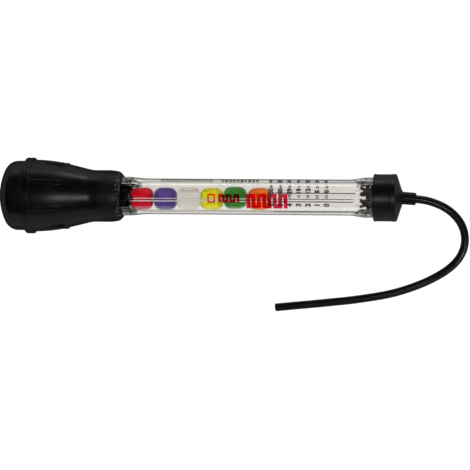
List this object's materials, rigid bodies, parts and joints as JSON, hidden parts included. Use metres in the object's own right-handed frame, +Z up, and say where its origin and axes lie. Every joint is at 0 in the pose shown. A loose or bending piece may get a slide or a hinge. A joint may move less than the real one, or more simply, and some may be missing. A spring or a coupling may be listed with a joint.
{
  "type": "antifreeze tester",
  "caption": "Antifreeze tester: a ribbed rubber squeeze bulb, a clear measuring tube with coloured floats, a rubber end cap with a nipple, and a curved suction hose.",
  "frame": {"origin": "on the surface that the tester lies on, under the middle of its bounding box without the loose hose", "axes": "+X along the tester from the bulb to the nipple, +Z up from the surface, +Y to the side away from the hose's bend"},
  "size_m": [0.3553, 0.1145, 0.0576],
  "materials": {
    "bulb_rubber": "smooth satin black rubber",
    "cap_rubber": "smooth satin black rubber",
    "clear_plastic": "clear moulded plastic, faintly grey",
    "stop_plastic": "black moulded plastic",
    "red_plastic": "moulded plastic",
    "violet_plastic": "moulded plastic",
    "natural_plastic": "uncoloured translucent plastic",
    "yellow_plastic": "moulded plastic",
    "green_plastic": "moulded plastic",
    "orange_plastic": "moulded plastic",
    "hose_rubber": "smooth black rubber"
  },
  "bodies": {
    "tester": {"squeeze_bulb": "bulb_rubber", "measuring_tube": "clear_plastic", "end_cap": "cap_rubber", "float_stop_bulb": "stop_plastic", "float_stop_cap": "stop_plastic", "suction_hose": "hose_rubber"},
    "red_float": {"float_red": "red_plastic"},
    "violet_float": {"float_violet": "violet_plastic"},
    "natural_float": {"float_natural": "natural_plastic"},
    "yellow_float": {"float_yellow": "yellow_plastic"},
    "green_float": {"float_green": "green_plastic"},
    "orange_float": {"float_orange": "orange_plastic"}
  },
  "joints": [
    {"name": "red_float_slide", "type": "slide", "parent": "tester", "child": "red_float", "axis": [0.9992, 0, -0.04], "range_m": [0, 0.0118]},
    {"name": "violet_float_slide", "type": "slide", "parent": "red_float", "child": "violet_float", "axis": [0.9992, 0, -0.04], "range_m": [0, 0.0118]},
    {"name": "natural_float_slide", "type": "slide", "parent": "violet_float", "child": "natural_float", "axis": [0.9992, 0, -0.04], "range_m": [0, 0.0118]},
    {"name": "yellow_float_slide", "type": "slide", "parent": "natural_float", "child": "yellow_float", "axis": [0.9992, 0, -0.04], "range_m": [0, 0.0118]},
    {"name": "green_float_slide", "type": "slide", "parent": "yellow_float", "child": "green_float", "axis": [0.9992, 0, -0.04], "range_m": [0, 0.0118]},
    {"name": "orange_float_slide", "type": "slide", "parent": "green_float", "child": "orange_float", "axis": [0.9992, 0, -0.04], "range_m": [0, 0.0118]}
  ]
}
